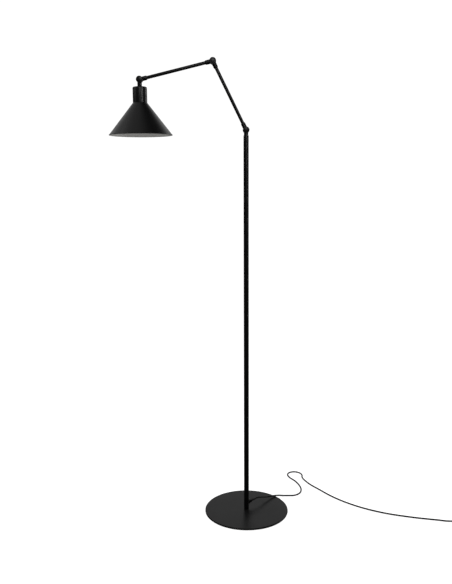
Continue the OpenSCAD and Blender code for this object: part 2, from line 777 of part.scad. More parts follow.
base_pad();
base_plate();
base_screw();
pole_foot();
pole();
pole_screw();
pole_cable();
cord_grip();
grip_screw();
strain_relief();
cord_lead();
switch_base();
switch_cover();
switch_spring();
switch_button();
cord_link();
cord_coil();
coil_tie();
cord_tail();
plug_body();
plug_pins();
shoulder_fixed_half();
shoulder_axle();
shoulder_washers();
shoulder_nut();
shoulder_back_cap();
neck_wires();
shoulder_turning_half();
shoulder_front_cap();
lower_arm_tube();
lower_arm_screws();
lower_arm_wires();
elbow_fixed_half();
elbow_axle();
elbow_washers();
elbow_nut();
elbow_back_cap();
elbow_turning_half();
elbow_front_cap();
upper_arm_tube();
upper_arm_screws();
upper_arm_wires();
head_fixed_half();
head_axle();
head_washers();
head_nut();
head_back_cap();
head_turning_half();
head_front_cap();
head_wires();
nipple();
nipple_nut();
socket_cup();
shade();
shade_ring();
holder_cap();
holder_body();
screw_shell();
centre_contact();
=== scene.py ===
"""An adjustable arm floor lamp: a round base plate, a pole, two arms on three friction
knuckles, a socket cup and a conical shade, and a mains cord with a foot switch and a plug.

Shapes are worked out in millimetres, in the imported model's own frame: +Z up, the floor at 0,
the pole on the Z axis and the arm towards -X. Each one goes into its mesh in metres."""

import json
import math

import bmesh
import bpy
import numpy as np
from mathutils import Matrix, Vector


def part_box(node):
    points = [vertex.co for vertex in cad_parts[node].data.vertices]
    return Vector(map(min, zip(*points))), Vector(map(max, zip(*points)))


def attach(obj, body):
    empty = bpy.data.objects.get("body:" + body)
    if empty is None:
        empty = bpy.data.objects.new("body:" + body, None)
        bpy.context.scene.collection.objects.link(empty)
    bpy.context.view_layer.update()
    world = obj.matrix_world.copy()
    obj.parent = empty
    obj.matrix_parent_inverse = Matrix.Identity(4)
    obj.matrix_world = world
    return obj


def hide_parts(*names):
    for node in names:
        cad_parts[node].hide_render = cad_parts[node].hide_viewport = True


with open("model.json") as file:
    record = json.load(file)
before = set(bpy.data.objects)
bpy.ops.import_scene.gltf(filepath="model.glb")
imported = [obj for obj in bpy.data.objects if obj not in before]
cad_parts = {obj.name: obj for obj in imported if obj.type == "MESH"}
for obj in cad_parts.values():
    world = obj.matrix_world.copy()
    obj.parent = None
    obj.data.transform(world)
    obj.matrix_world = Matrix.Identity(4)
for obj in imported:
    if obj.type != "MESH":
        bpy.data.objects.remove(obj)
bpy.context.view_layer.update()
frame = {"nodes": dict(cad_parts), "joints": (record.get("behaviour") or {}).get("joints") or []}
NODES = frame["nodes"]
MM = 0.001
X, Y, Z = np.eye(3)


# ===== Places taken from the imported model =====


def unit(v):
    """v, or each row of v, divided by its length."""
    return v / np.linalg.norm(v, axis=-1, keepdims=True)


def box(node):
    """Lowest and highest corner of a CAD node, in millimetres."""
    low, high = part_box(node)
    return np.array(low) / MM, np.array(high) / MM


PIN = {j["name"]: np.array(j["pos_m"]) / MM for j in frame["joints"] if "pos_m" in j}
SHOULDER, ELBOW, HEAD = PIN["shoulder"], PIN["elbow"], PIN["head_tilt"]
LOWER_WAY, UPPER_WAY = unit(ELBOW - SHOULDER), unit(HEAD - ELBOW)


# ===== Surfaces =====


def corners(*rows, per=7):
    """An outline with rounded corners. Each row (a, b, r) is a corner and its radius: the
    corner gives way to points spread evenly over the arc of radius r that touches both of
    its sides. The arc's centre lies on the bisector, r / sin(half the angle) from the corner."""
    rows = np.array(rows, float)
    at, r = rows[:, :2], rows[:, 2]
    u, v = unit(np.roll(at, 1, 0) - at), unit(np.roll(at, -1, 0) - at)
    half = np.arccos(np.clip((u * v).sum(1), -1, 1)) / 2
    centre = at + unit(u + v) * (r / np.sin(half))[:, None]
    reach = (r / np.tan(half))[:, None]
    first, last = (at + u * reach - centre)[:, None], (at + v * reach - centre)[:, None]
    turn = (np.pi - 2 * half)[:, None, None]
    s = np.linspace(0, 1, per)[None, :, None]
    arc = (np.sin((1 - s) * turn) * first + np.sin(s * turn) * last) / np.sin(turn)
    return (centre[:, None] + arc).reshape(-1, 2)


def spun(outline, origin, axis, around=64, swell=None):
    """A turned surface. For each (a, r) of the outline and each angle t of a full turn the
    point is origin + a * axis + (r + swell(a, r, t)) * (cos t * side + sin t * up)."""
    axis = unit(np.array(axis, float))
    side = unit(np.cross(Y if abs(axis[1]) < 0.9 else X, axis))
    up = np.cross(axis, side)
    a, r = outline[:, :1], outline[:, 1:]
    t = np.linspace(0, 2 * np.pi, around, endpoint=False)[None, :]
    if swell:
        r = r + swell(a, r, t)
    spoke = np.cos(t)[..., None] * side + np.sin(t)[..., None] * up
    return np.array(origin, float) + a[..., None] * axis + (r + 0 * t)[..., None] * spoke


def piece(name, body, finishes, shells, replaces=(), sharp=38, route=None):
    """Makes shells into one mesh. A shell is a grid of points, whether its rows run round in a
    ring, and the number of the finish on its rows. Its columns always run round. Doubles are
    merged, which closes seams and poles, and faces then point outwards."""
    points, faces, kinds = [], [], []
    for grid, ring, kind in shells:
        n, m = grid.shape[:2]
        i, j = np.arange(n if ring else n - 1)[:, None], np.arange(m)[None, :]
        i2, j2 = (i + 1) % n, (j + 1) % m
        start = sum(len(p) for p in points)
        quads = np.stack([i * m + j, i * m + j2, i2 * m + j2, i2 * m + j], -1)
        points.append(grid.reshape(-1, 3))
        faces.append(start + quads.reshape(-1, 4))
        kinds.append((np.reshape(kind, (-1, 1)) + 0 * (i + j)).ravel())
    mesh = bpy.data.meshes.new(name)
    mesh.from_pydata((np.concatenate(points) * MM).tolist(), [], np.concatenate(faces).tolist())
    mesh.polygons.foreach_set("material_index", np.concatenate(kinds).astype(np.int32))
    if route is not None:
        layer = mesh.attributes.new("route", "FLOAT_VECTOR", "POINT")
        layer.data.foreach_set("vector", (route * MM).astype(np.float32).ravel())
    shape = bmesh.new()
    shape.from_mesh(mesh)
    return settle(name, shape, mesh, body, finishes, replaces, sharp)


def settle(name, shape, mesh, body, finishes, replaces, sharp):
    """Closes a shape, turns its faces outwards, and makes it a piece that rides on a body."""
    bmesh.ops.remove_doubles(shape, verts=shape.verts, dist=1e-6)
    bmesh.ops.recalc_face_normals(shape, faces=shape.faces)
    shape.to_mesh(mesh)
    shape.free()
    if "custom_normal" in mesh.attributes:
        mesh.attributes.remove(mesh.attributes["custom_normal"])
    for finish in finishes:
        mesh.materials.append(finish)
    mesh.shade_smooth()
    mesh.set_sharp_from_angle(angle=math.radians(sharp))
    made = bpy.data.objects.new(name, mesh)
    bpy.context.scene.collection.objects.link(made)
    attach(made, body)
    if replaces:
        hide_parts(*replaces)
    return made


def softened(name, node, body, finish, width=0.3, sharp=32):
    """A CAD node's own shape with its edges rounded: doubles merged, flat neighbouring
    triangles joined, and each edge sharper than `sharp` degrees bevelled `width` wide. Its
    shading follows its larger faces."""
    mesh = bpy.data.meshes.new(name)
    shape = bmesh.new()
    shape.from_mesh(NODES[node].data)
    bmesh.ops.remove_doubles(shape, verts=shape.verts, dist=2e-6)
    bmesh.ops.dissolve_limit(
        shape, angle_limit=math.radians(0.8), verts=shape.verts, edges=shape.edges
    )
    edges = [
        e
        for e in shape.edges
        if len(e.link_faces) == 2 and e.calc_face_angle(0) > math.radians(sharp)
    ]
    bmesh.ops.bevel(
        shape, geom=edges, offset=width * MM, segments=3, profile=0.5, affect="EDGES",
        clamp_overlap=True,
    )
    for face in shape.faces:
        face.material_index = 0
    made = settle(name, shape, mesh, body, [finish], [node], 30)
    smooth = made.modifiers.new("even_shading", "WEIGHTED_NORMAL")
    smooth.keep_sharp = True
    return made


# ===== Finishes =====


class Value:
    """A node's output. An expression on it adds Math nodes."""

    def __init__(self, finish, link):
        self.finish, self.link = finish, link

    def math(self, operation, *inputs):
        return self.finish.add(
            "ShaderNodeMath", {"operation": operation}, dict(enumerate(inputs))
        )

    def __add__(self, other):
        return self.math("ADD", self, other)

    def __rsub__(self, other):
        return self.math("SUBTRACT", other, self)

    def __mul__(self, other):
        return self.math("MULTIPLY", self, other)

    __radd__, __rmul__ = __add__, __mul__


class Finish:
    """The nodes of one material, or of the world."""

    def __init__(self, name, owners=bpy.data.materials):
        self.owner = owners.new(name)
        self.owner.use_nodes = True
        self.tree = self.owner.node_tree
        self.tree.nodes.clear()

    def add(self, kind, settings=None, inputs=None, out=0):
        """A node of this type, its settings set first and then the values or links of its
        sockets. Returns one of its outputs."""
        node = self.tree.nodes.new(kind)
        for key, value in (settings or {}).items():
            setattr(node, key, value)
        for key, value in (inputs or {}).items():
            if isinstance(value, Value):
                self.tree.links.new(value.link, node.inputs[key])
            else:
                node.inputs[key].default_value = value
        return Value(self, node.outputs[out])

    def place(self):
        """Object coordinates, in metres."""
        return self.add("ShaderNodeTexCoord", out="Object")

    def parts(self, vector):
        """The three parts of a vector."""
        split = self.add("ShaderNodeSeparateXYZ", None, {0: vector}).link.node
        return [Value(self, out) for out in split.outputs]

    def noise(self, where, size, detail=2.0, rough=0.5):
        """Noise from 0 to 1 whose lumps are `size` millimetres across."""
        return self.add(
            "ShaderNodeTexNoise", None,
            {"Vector": where, "Scale": 1 / (size * MM), "Detail": detail, "Roughness": rough},
        )

    def tint(self, factor, dark, light):
        """A colour between dark and light."""
        return self.add(
            "ShaderNodeMix", {"data_type": "RGBA"},
            {0: factor, 6: (*dark, 1), 7: (*light, 1)}, out=2,
        )

    def bump(self, height, depth, strength=1.0, below=None):
        """A normal for a surface whose height varies by `depth` millimetres."""
        inputs = {"Height": height, "Distance": depth * MM, "Strength": strength}
        if below:
            inputs["Normal"] = below
        return self.add("ShaderNodeBump", None, inputs)

    def coat(self, **inputs):
        """Ends the material in a shader with these sockets, whose names have _ for a space."""
        shader = self.add(
            "ShaderNodeBsdfPrincipled", None,
            {key.replace("_", " "): value for key, value in inputs.items()},
        )
        return self.end("ShaderNodeOutputMaterial", shader)

    def end(self, kind, shader):
        """Joins a shader to an output node of this type. Returns the finished owner."""
        output = self.tree.nodes.new(kind)
        self.tree.links.new(shader.link, output.inputs["Surface"])
        return self.owner


def satin_lacquer():
    """Black satin lacquer: a faint orange peel, and gloss that drifts from place to place."""
    f = Finish("satin_lacquer")
    at = f.place()
    drift, peel = f.noise(at, 26), f.noise(at, 1.3, 1.0)
    return f.coat(
        Base_Color=f.tint(drift, (0.002, 0.002, 0.0021), (0.004, 0.004, 0.0042)),
        Roughness=0.26 + 0.1 * drift,
        Specular_IOR_Level=0.3,
        Normal=f.bump(peel, 0.02, 0.35),
    )


def spun_height(f, at):
    """Fine turning lines round a vertical axis: noise that changes with height alone, with a
    little that changes round the piece so that no line is perfectly even."""
    x, y, z = f.parts(at)
    level = f.add("ShaderNodeCombineXYZ", None, {0: x * 0.02, 1: y * 0.02, 2: z})
    return f.noise(level, 1.6, 2.0, 0.6)


def spun_lacquer():
    """Black lacquer over spun steel: turning lines show through it."""
    f = Finish("spun_lacquer")
    at = f.place()
    lines, drift = spun_height(f, at), f.noise(at, 40)
    return f.coat(
        Base_Color=f.tint(lines, (0.002, 0.002, 0.0021), (0.005, 0.005, 0.0052)),
        Roughness=0.24 + 0.1 * lines + 0.06 * drift,
        Specular_IOR_Level=0.35,
        Normal=f.bump(lines, 0.03, 0.5, f.bump(f.noise(at, 1.2, 1.0), 0.015, 0.3)),
    )


def shade_white():
    """White paint inside the shade, slightly warm, over the same turning lines."""
    f = Finish("shade_white")
    at = f.place()
    lines, drift = spun_height(f, at), f.noise(at, 30)
    return f.coat(
        Base_Color=f.tint(drift, (0.74, 0.73, 0.70), (0.80, 0.79, 0.765)),
        Roughness=0.42 + 0.1 * lines,
        Normal=f.bump(lines, 0.03, 0.4),
    )


def powder_coat():
    """Black powder coat on the base plate: fine grain with a low sheen."""
    f = Finish("powder_coat")
    at = f.place()
    grain, drift = f.noise(at, 0.5, 2.0, 0.65), f.noise(at, 55, 3.0)
    return f.coat(
        Base_Color=f.tint(
            grain * 0.6 + drift * 0.4, (0.004, 0.004, 0.0042), (0.010, 0.010, 0.0104)
        ),
        Roughness=0.3 + 0.1 * drift,
        Specular_IOR_Level=0.12,
        Normal=f.bump(grain, 0.03, 0.3),
    )


def rubber():
    """The pad's dull rubber, slightly mottled."""
    f = Finish("rubber")
    at = f.place()
    grain = f.noise(at, 0.8, 3.0, 0.7)
    return f.coat(
        Base_Color=f.tint(f.noise(at, 14), (0.012, 0.012, 0.012), (0.022, 0.021, 0.020)),
        Roughness=0.75 + 0.15 * grain,
        Normal=f.bump(grain, 0.08, 0.6),
    )


def bright_metal(name, dark, light, size):
    """Turned or plated metal: fine marks in its gloss and slow changes in its colour."""
    f = Finish(name)
    at = f.place()
    marks = f.noise(at, size, 4.0, 0.7)
    return f.coat(
        Base_Color=f.tint(f.noise(at, 6), dark, light),
        Metallic=1.0,
        Roughness=0.22 + 0.2 * marks,
        Normal=f.bump(marks, 0.01, 0.4),
    )


def cord_jacket():
    """The cord's soft plastic jacket. Its pattern follows the cord: the attribute gives the
    way along the cord and the place across it."""
    f = Finish("cord_jacket")
    at = f.add("ShaderNodeAttribute", {"attribute_name": "route"}, out="Vector")
    skin = f.noise(at, 0.9, 2.0)
    return f.coat(
        Base_Color=f.tint(f.noise(at, 18), (0.002, 0.002, 0.002), (0.004, 0.004, 0.0042)),
        Roughness=0.38 + 0.14 * skin,
        Specular_IOR_Level=0.15,
        Normal=f.bump(skin, 0.03, 0.4),
    )


def inner_cable():
    """The same jacket on the cable inside the pole."""
    f = Finish("inner_cable")
    at = f.place()
    return f.coat(
        Base_Color=f.tint(f.noise(at, 9), (0.005, 0.005, 0.005), (0.010, 0.010, 0.010)),
        Roughness=0.4 + 0.12 * f.noise(at, 1.0),
    )


def moulded_plastic():
    """Black moulded plastic with the fine grain of an eroded mould."""
    f = Finish("moulded_plastic")
    at = f.place()
    grain = f.noise(at, 0.45, 3.0, 0.6)
    return f.coat(
        Base_Color=f.tint(f.noise(at, 12), (0.006, 0.006, 0.006), (0.011, 0.011, 0.0112)),
        Roughness=0.42 + 0.16 * grain,
        Specular_IOR_Level=0.4,
        Normal=f.bump(grain, 0.04, 0.5),
    )


def glazed_ceramic():
    """White glazed ceramic: a clear glaze that pools a little."""
    f = Finish("glazed_ceramic")
    at = f.place()
    pool = f.noise(at, 7, 2.0)
    return f.coat(
        Base_Color=f.tint(pool, (0.72, 0.70, 0.655), (0.82, 0.81, 0.78)),
        Roughness=0.2 + 0.1 * pool,
        Coat_Weight=0.5 + 0.3 * pool,
        Coat_Roughness=0.06,
        Normal=f.bump(pool, 0.1, 0.3),
    )


def wire_sleeve():
    """Silicone sleeve on the inner wires."""
    f = Finish("wire_sleeve")
    at = f.place()
    return f.coat(
        Base_Color=f.tint(f.noise(at, 5), (0.50, 0.50, 0.48), (0.66, 0.66, 0.63)),
        Roughness=0.45 + 0.1 * f.noise(at, 0.6),
    )


def woven_strap():
    """Woven nylon: ribs across the strap's way, crossed by finer ones."""
    f = Finish("woven_strap")
    at = f.add("ShaderNodeAttribute", {"attribute_name": "route"}, out="Vector")
    way, across, _ = f.parts(at)
    ribs = way * 9000
    weave = ribs.math("SINE", ribs) * 0.5 + (across * 7000).math("SINE", across * 7000) * 0.3
    return f.coat(
        Base_Color=f.tint(weave + 0.5, (0.010, 0.010, 0.010), (0.028, 0.028, 0.029)),
        Roughness=0.75,
        Sheen_Weight=0.3,
        Normal=f.bump(weave, 0.12, 0.8),
    )


LACQUER, SPUN, WHITE = satin_lacquer(), spun_lacquer(), shade_white()
POWDER, RUBBER = powder_coat(), rubber()
STEEL = bright_metal("plated_steel", (0.46, 0.46, 0.47), (0.60, 0.60, 0.61), 0.7)
BRASS = bright_metal("brass", (0.62, 0.44, 0.20), (0.76, 0.57, 0.29), 0.9)
JACKET, CABLE, PLASTIC = cord_jacket(), inner_cable(), moulded_plastic()
CERAMIC, SLEEVE, STRAP = glazed_ceramic(), wire_sleeve(), woven_strap()


# ===== Camera, floor and light =====

CAMERA_AT = (-0.0632, -2.1217, 1.07335)
PITCH_DOWN, ROLL = 0.1617, -0.0058
LENS = 42.48

scene = bpy.context.scene
camera = bpy.data.objects.new("camera", bpy.data.cameras.new("camera"))
scene.collection.objects.link(camera)
camera.data.lens = LENS
camera.data.sensor_width = 36
camera.matrix_world = (
    Matrix.Translation(CAMERA_AT)
    @ Matrix.Rotation(math.pi / 2 - PITCH_DOWN, 4, "X")
    @ Matrix.Rotation(ROLL, 4, "Z")
)
scene.camera = camera
scene.view_settings.view_transform = "Standard"


def studio_floor():
    """A floor that is white and glows to the eye, so that only the shade close under a piece
    shows, and darker to the pieces. It is left out of their reflections, so that black pieces
    stay black."""
    f = Finish("studio_floor")
    seen = f.add("ShaderNodeLightPath", out="Is Camera Ray")
    white = f.coat(
        Base_Color=f.tint(seen, (0.4, 0.4, 0.4), (0.8, 0.8, 0.8)),
        Roughness=0.9,
        Emission_Color=f.tint(seen, (0.1, 0.1, 0.1), (0.8, 0.8, 0.8)),
        Emission_Strength=1.0,
    )
    mesh = bpy.data.meshes.new("floor")
    reach = 12
    square = [(-reach, -reach, 0), (reach, -reach, 0), (reach, reach, 0), (-reach, reach, 0)]
    mesh.from_pydata(square, [], [(0, 1, 2, 3)])
    mesh.materials.append(white)
    floor = bpy.data.objects.new("floor", mesh)
    scene.collection.objects.link(floor)
    floor.visible_glossy = False


def studio_world():
    """White to look at. As a light it is bright behind the lamp, more so above and on the
    right, soft overhead on the left, and nearly dark elsewhere:
    0.03 + behind * (0.1 + 0.6 * above + 0.5 * right) + 0.4 * overhead * left."""
    f = Finish("studio", bpy.data.worlds)
    x, y, z = f.parts(f.add("ShaderNodeTexCoord", out="Generated"))
    behind, above, right, overhead, left = (
        f.add("ShaderNodeMapRange", {"interpolation_type": "SMOOTHSTEP"},
              {"Value": value, "From Min": low, "From Max": high})
        for value, low, high in ((y, 0.4, 1), (z, 0.05, 0.5), (x, 0, 0.6), (z, 0.1, 0.7),
                                 (-1 * x, -0.45, 0.15))
    )
    light = 0.03 + behind * (0.1 + 0.6 * above + 0.5 * right) + 0.4 * overhead * left
    seen = f.add("ShaderNodeLightPath", out="Is Camera Ray")
    strength = seen * 1.05 + (1 - seen) * light
    back = f.add("ShaderNodeBackground", None, {"Color": (1, 1, 1, 1), "Strength": strength})
    scene.world = f.end("ShaderNodeOutputWorld", back)


def panel(name, at, aim, size, power):
    """A soft rectangular light at a point, turned towards another."""
    lamp = bpy.data.lights.new(name, "AREA")
    lamp.shape, lamp.size, lamp.size_y, lamp.energy = "RECTANGLE", *size, power
    holder = bpy.data.objects.new(name, lamp)
    scene.collection.objects.link(holder)
    z = unit(np.array(at, float) - np.array(aim, float))
    x = unit(np.cross(Z, z))
    way = Matrix(np.stack([x, np.cross(z, x), z], 1).tolist())
    holder.matrix_world = Matrix.Translation(at) @ way.to_4x4()


studio_floor()
studio_world()
panel("light_right", (1.7, 1.1, 1.2), (0, 0, 0.9), (0.5, 2.2), 12)
panel("light_left", (-1.9, -0.3, 2.2), (-0.3, 0, 1.2), (0.9, 1.4), 5)
panel("light_front", (1.3, -1.75, 1.6), (-0.3, 0, 1.4), (0.12, 0.6), 8)
panel("light_eye", (0, -2.2, 2.1), (-0.2, 0, 1.4), (0.5, 0.3), 8)


# ===== Cord =====

CORD_D = 5.0
PULL = 1.08
# The cord's points, as in the CAD: over the base and the floor to the foot switch
LEAD = [(6.3, 5.7, 28.5), (24, 21.6, 28.5), (33, 29.7, 28.4), (48, 43, 25), (64, 57, 18.6),
        (82, 73, 12.6), (99, 86, 9), (113, 94, 6), (127, 98, 3.3), (146, 99, 2.6),
        (168, 101, 2.5), (187, 117, 2.5), (195, 142, 2.5), (193, 176, 2.5), (181, 214, 2.5),
        (163, 248, 2.5), (159, 267, 2.5), (166, 285, 2.5), (184, 293, 2.5), (202, 286, 2.5),
        (211, 268, 2.5), (210, 246, 2.5), (222, 206, 2.5), (262, 139, 2.5), (296, 89, 2.5),
        (348, 34, 2.5), (430, -22, 2.5), (530, -60, 2.5), (606, -79, 2.6), (636, -87, 3),
        (656, -90, 4.7), (671, -90, 6), (684, -90, 6)]
# From the switch round to the coil
LINK = [(760, -90, 6), (774, -90, 6), (789, -86.5, 4.6), (801, -73, 3.3), (805, -50, 3.3),
        (805, -20, 3.3)]
# From the top of the coil down to the plug
TAIL = [(802.5, -20, 7.7), (802.5, -8, 8.3), (802, 6, 6.8), (800, 24, 3.6), (797, 44, 3.2),
        (794, 64, 5.6), (792, 80, 6.8), (792, 98, 6.8)]
GRIP_TURN = math.radians(42)
GRIP_WAY = np.array([math.cos(GRIP_TURN), math.sin(GRIP_TURN), 0])
GRIP_Z, GRIP_OUT, BOOT_LONG = 28.5, 20, 22
COIL_AT, COIL_R = np.array([772.5, -20]), 27.5
PLUG_AT = np.array(TAIL[-1], float)


def through(points):
    """The cord's way through its points. Between two of them, d apart, it is the cubic
    p0 (2t³ - 3t² + 1) + h0 d (t³ - 2t² + t) + p1 (3t² - 2t³) + h1 d (t³ - t²). A heading h
    is PULL along the mean of the chords beside its point, the shorter chord counting more."""
    p = np.array(points, float)
    d = np.linalg.norm(np.diff(p, axis=0), axis=1)[:, None]
    h = np.vstack([unit(p[1] - p[0]), np.zeros((len(p) - 2, 3)), unit(p[-1] - p[-2])])
    before, after = np.diff(p, axis=0)[:-1], np.diff(p, axis=0)[1:]
    h[1:-1] = PULL * unit(after * d[:-1] / d[1:] + before * d[1:] / d[:-1])
    t = np.linspace(0, 1, 30, endpoint=False)[None, :, None]
    s, c = t**2, t**3
    way = p[:-1, None] * (2 * c - 3 * s + 1) + (h[:-1] * d)[:, None] * (c - 2 * s + t)
    way = way + p[1:, None] * (3 * s - 2 * c) + (h[1:] * d)[:, None] * (c - s)
    return np.vstack([way.reshape(-1, 3), p[-1:]])


def levels(x, marks):
    """A curve through the marks (x, y) that is level at each: y0 + (y1 - y0)(3t² - 2t³)."""
    mx, my = np.array(marks, float).T
    i = np.clip(np.searchsorted(mx, x, "right") - 1, 0, len(mx) - 2)
    t = (x - mx[i]) / (mx[i + 1] - mx[i])
    return my[i] + (my[i + 1] - my[i]) * t * t * (3 - 2 * t)


def coiled():
    """Five turns: three side by side on the floor, winding inwards, and two on top of them,
    winding outwards. Radius and height change with the turn, and each change of radius is
    made in the last third of a turn, where the cord above humps over it."""
    turn = np.linspace(0, 5, 600)
    r = levels(turn, [(0, 32.5), (0.7, 32.5), (1, 27.5), (1.7, 27.5), (2, 22.5), (2.8, 22.5),
                      (3.08, 25), (3.68, 25), (4, 30), (5, 30)])
    z = levels(turn, [(0, 3.3), (2.3, 3.3), (2.86, 8.3), (3.0, 8.3), (3.16, 7.75), (3.6, 7.75),
                      (3.76, 8.35), (3.94, 8.35), (4.1, 7.75), (4.6, 7.75), (4.76, 8.35),
                      (4.86, 8.35), (5, 7.7)])
    a = 2 * np.pi * turn
    return np.stack([COIL_AT[0] + r * np.cos(a), COIL_AT[1] + r * np.sin(a), z], 1)


def evenly(path, step):
    """The same path with points an even step apart."""
    run = np.concatenate([[0], np.cumsum(np.linalg.norm(np.diff(path, axis=0), axis=1))])
    at = np.linspace(0, run[-1], int(run[-1] / step) + 1)
    return np.stack([np.interp(at, run, path[:, k]) for k in range(3)], 1), at


def tube(path, r, sides):
    """A round tube: path + r * (cos t * side + sin t * up), where side is level and across the
    path and up is square to both. Its end rows shrink to the path, which closes the ends."""
    way = unit(np.gradient(path, axis=0))
    side = unit(np.cross(Z, way))
    up = np.cross(way, side)
    t = np.linspace(0, 2 * np.pi, sides, endpoint=False)[None, :, None]
    grid = path[:, None] + r * (np.cos(t) * side[:, None] + np.sin(t) * up[:, None])
    ends = np.repeat(path[[0, -1], None], sides, 1)
    return np.concatenate([ends[:1], grid, ends[1:]])


cord_path, cord_run = evenly(
    np.vstack([through(LEAD), through(LINK), coiled()[1:], through(TAIL)[1:]]), 2.5
)
cord_grid = tube(cord_path, CORD_D / 2, 16)
around = np.linspace(0, 2 * np.pi, 16, endpoint=False)
cord_route = np.stack(np.broadcast_arrays(
    np.concatenate([[0], cord_run, cord_run[-1:]])[:, None],
    CORD_D / 2 * np.cos(around), CORD_D / 2 * np.sin(around)), -1).reshape(-1, 3)
mains_cord = piece("mains_cord", "stand", [JACKET], [(cord_grid, False, 0)],
                   ["cord_lead", "cord_link", "cord_coil", "cord_tail"], route=cord_route)


def ribbed(a0, a1, r0, r1, ribs, depth, bore, tip=0.5):
    """Outline of a flexible boot: its radius falls evenly from r0 to r1, less `depth` in each
    of `ribs` soft grooves, and its end is rounded; inside is a straight bore."""
    s = np.linspace(0, 1, ribs * 14 + 1)
    groove = np.clip(np.sin(2 * np.pi * ribs * s - np.pi / 2), 0, 1) ** 0.7
    fade = np.clip(np.minimum(s, 1 - s) * 12, 0, 1)
    r = r0 + (r1 - r0) * s - depth * groove * fade
    r = r - tip * np.clip(1 - (1 - s) * (a1 - a0) / tip, 0, 1) ** 2
    outer = np.stack([a0 + (a1 - a0) * s, r], 1)
    return np.vstack([outer, [[a1, bore], [a0, bore]]])


CORD_BORE = CORD_D / 2 + 0.05
piece("grip_boot", "stand", [PLASTIC],
      [(spun(ribbed(GRIP_OUT, GRIP_OUT + BOOT_LONG, 4.4, 3.2, 6, 0.8, CORD_BORE),
             GRIP_Z * Z, GRIP_WAY, 40), True, 0)],
      ["strain_relief"])


# ===== Base and pole =====

PLATE_LOW, PLATE_HIGH = box("base_plate")
PLATE_R, PLATE_Z0, PLATE_Z1 = PLATE_HIGH[0], PLATE_LOW[2], PLATE_HIGH[2]
PAD_R = box("base_pad")[1][0]
SCREW_R, SINK_R, SINK_DEEP = 4.05, 8.05, 4

piece("floor_pad", "stand", [RUBBER],
      [(spun(corners((0, 0, 0), (0, PAD_R, 0.3), (PLATE_Z0, PAD_R, 0.25), (PLATE_Z0, 0, 0)),
             0 * Z, Z, 128), False, 0)], ["base_pad"])
piece("base_disc", "stand", [POWDER],
      [(spun(corners((PLATE_Z0, SINK_R, 0), (PLATE_Z0, PLATE_R, 0.5),
                     (PLATE_Z1 - 0.25, PLATE_R, 1.4), (PLATE_Z1, PLATE_R - 4.2, 1.5),
                     (PLATE_Z1, SCREW_R, 0), (PLATE_Z0 + SINK_DEEP, SCREW_R, 0)),
             0 * Z, Z, 256), True, 0)], ["base_plate"])
softened("pole_tube", "pole", "stand", LACQUER, 0.35)
softened("cord_gland", "cord_grip", "stand", LACQUER, 0.5)
softened("gland_screw", "grip_screw", "stand", STEEL, 0.3)


# ===== Knuckles and arms =====

CAP_Y, CAP_EDGE, CAP_TOP, CAP_R = 8.2, 9.4, 10.2, 8.7


def cap_outline():
    """Half the section of a pressed cap: a straight wall with a rounded edge, a shallow ring
    groove, and a dome whose height falls with the square of the radius."""
    r = np.linspace(CAP_R - 0.35, 0, 40)
    dome = CAP_EDGE + (CAP_TOP - CAP_EDGE) * (1 - (r / CAP_R) ** 2)
    dome = dome - 0.14 * np.exp(-(((r - 7.3) / 0.28) ** 2))
    wall = [[CAP_Y, 0], [CAP_Y, CAP_R - 0.1], [CAP_EDGE - 0.25, CAP_R],
            [CAP_EDGE - 0.1, CAP_R - 0.06], [CAP_EDGE, CAP_R - 0.18]]
    return np.vstack([wall, np.stack([dome, r], 1)])


def knuckle(name, pin, fixed_body, turning_body):
    """One friction knuckle: its two halves with rounded edges, and a cap on each."""
    softened(name + "_back_half", name + "_fixed_half", fixed_body, LACQUER, 0.35)
    softened(name + "_front_half", name + "_turning_half", turning_body, LACQUER, 0.35)
    for side, way, body in (("back", Y, fixed_body), ("front", -Y, turning_body)):
        piece(f"{name}_{side}_dome", body, [LACQUER],
              [(spun(cap_outline(), pin, way, 72), False, 0)], [f"{name}_{side}_cap"])


knuckle("shoulder", SHOULDER, "neck", "lower_arm")
knuckle("elbow", ELBOW, "lower_arm", "upper_arm")
knuckle("head", HEAD, "upper_arm", "head")

TUBE_SEAT, ARM_R, ARM_BORE = 13, 5, 4
for body, pin, end, way in (("lower_arm", SHOULDER, ELBOW, LOWER_WAY),
                            ("upper_arm", ELBOW, HEAD, UPPER_WAY)):
    far = np.linalg.norm(end - pin) - TUBE_SEAT
    piece(body + "_pipe", body, [LACQUER],
          [(spun(corners((TUBE_SEAT, ARM_BORE, 0.2), (TUBE_SEAT, ARM_R, 0.3),
                         (far, ARM_R, 0.3), (far, ARM_BORE, 0.2)), pin, way, 72), True, 0)],
          [body + "_tube"])


# ===== Head =====

CUP_LOW, CUP_HIGH = box("socket_cup")
SHADE_LOW, SHADE_HIGH = box("shade")
HEAD_X = HEAD * X
CUP_R = (CUP_HIGH[0] - CUP_LOW[0]) / 2
CUP_Z0, CUP_Z1 = CUP_LOW[2], CUP_HIGH[2]
SHEET = 1.2
NECK_R = 5.05
RIM_R = (SHADE_HIGH[0] - SHADE_LOW[0]) / 2
BEAD_R = 1.3
SKIRT_R = 17.5


